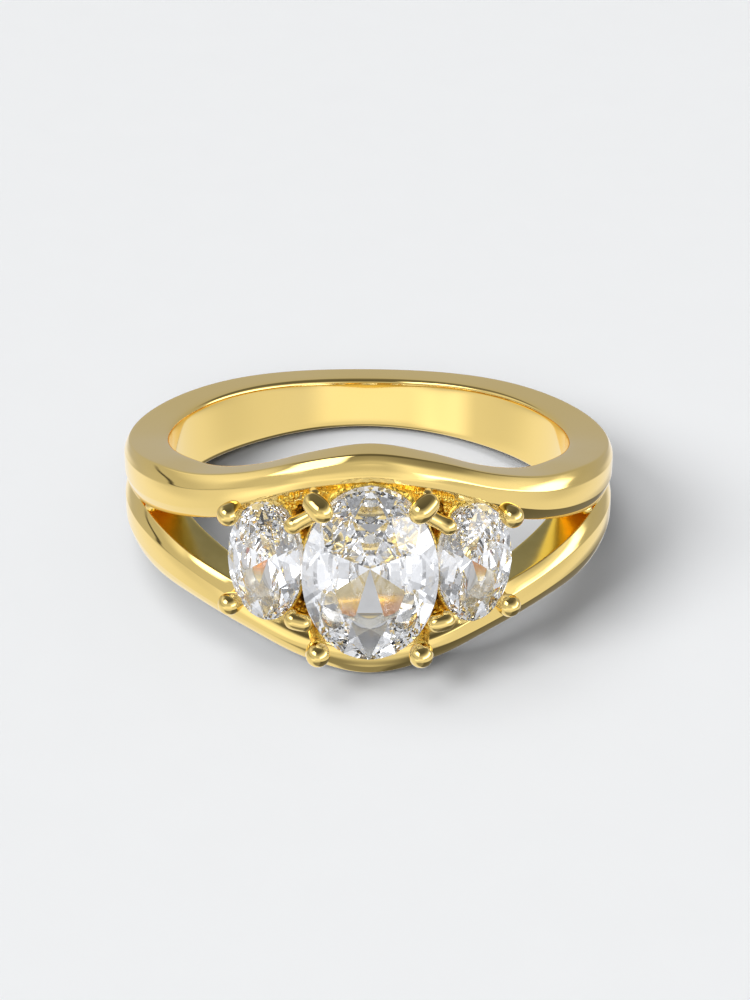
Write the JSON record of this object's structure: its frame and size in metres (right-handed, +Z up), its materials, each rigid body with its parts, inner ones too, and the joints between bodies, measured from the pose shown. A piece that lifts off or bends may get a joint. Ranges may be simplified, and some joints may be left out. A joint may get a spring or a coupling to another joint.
{
  "type": "cubic zirconia ring",
  "caption": "Gold ring with a split, flared shank and a row of oval cubic zirconia stones held in round claws; worn on a finger.",
  "frame": {"origin": "bottom centre of the bounding box, on the surface that the ring lies on", "axes": "+Z up; -Y from the finger hole towards the stones; X along the width of the head; the ring lies on its side, so the finger axis leans 10.7 degrees from +Z towards +Y"},
  "size_m": [0.0214, 0.023, 0.0097],
  "materials": {
    "gold": "polished yellow gold, rough cast grain only between the claws",
    "crystal": "colourless cut cubic zirconia with polished facets"
  },
  "bodies": {
    "root": {"shank_and_head": "gold", "center_stone": "crystal", "left_side_stone": "crystal", "right_side_stone": "crystal"}
  },
  "joints": []
}
